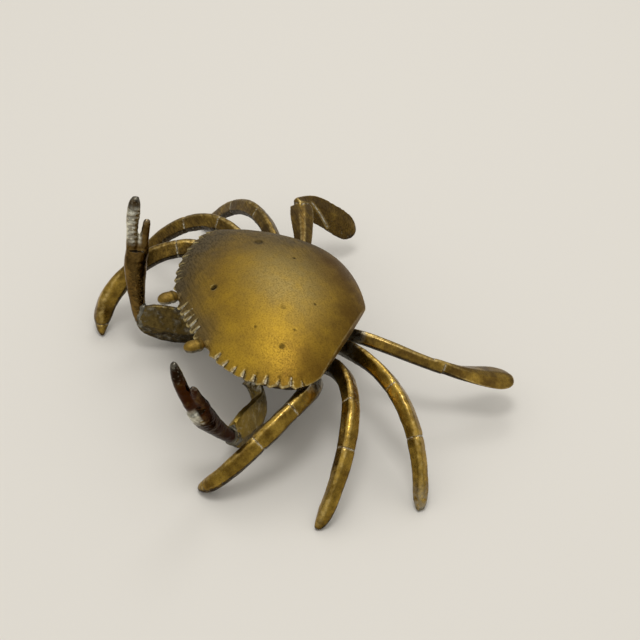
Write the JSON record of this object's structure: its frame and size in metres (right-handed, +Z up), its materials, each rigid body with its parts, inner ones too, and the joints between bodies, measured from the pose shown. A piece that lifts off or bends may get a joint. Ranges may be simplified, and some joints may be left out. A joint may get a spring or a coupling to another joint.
{
  "type": "crab figurine box",
  "caption": "Cast brass crab whose domed carapace is a hinged lid over a shallow bowl, standing on ridged legs with two raised pincers.",
  "frame": {"origin": "on the floor that the leg tips stand on, under the middle of the crab's overall box; the middle of the carapace is 1.1 mm to the left of it and 10 mm in front of it", "axes": "+Z up, the crab faces -Y, so its left side is +X"},
  "size_m": [0.1841, 0.1365, 0.0603],
  "materials": {
    "shell": "satin",
    "bowl": "rough cast",
    "pin": "satin",
    "leg": "satin",
    "arm": "rough cast",
    "pincer": "dark patina"
  },
  "bodies": {
    "base": {"body_bowl": "bowl", "hinge_pin": "pin", "front_leg_left": "leg", "front_leg_right": "leg", "middle_leg_left": "leg", "middle_leg_right": "leg", "hind_leg_left": "leg", "hind_leg_right": "leg", "swimming_leg_left": "leg", "swimming_leg_right": "leg", "claw_arm_left": "arm", "claw_arm_right": "arm", "pincer_left": "pincer", "pincer_right": "pincer"},
    "lid": {"carapace_lid": "shell"}
  },
  "joints": [
    {"name": "lid_hinge", "type": "hinge", "parent": "base", "child": "lid", "pos_m": [0.0011, 0.021, 0.0324], "axis": [-1, 0, 0], "range_deg": [0, 100]}
  ]
}
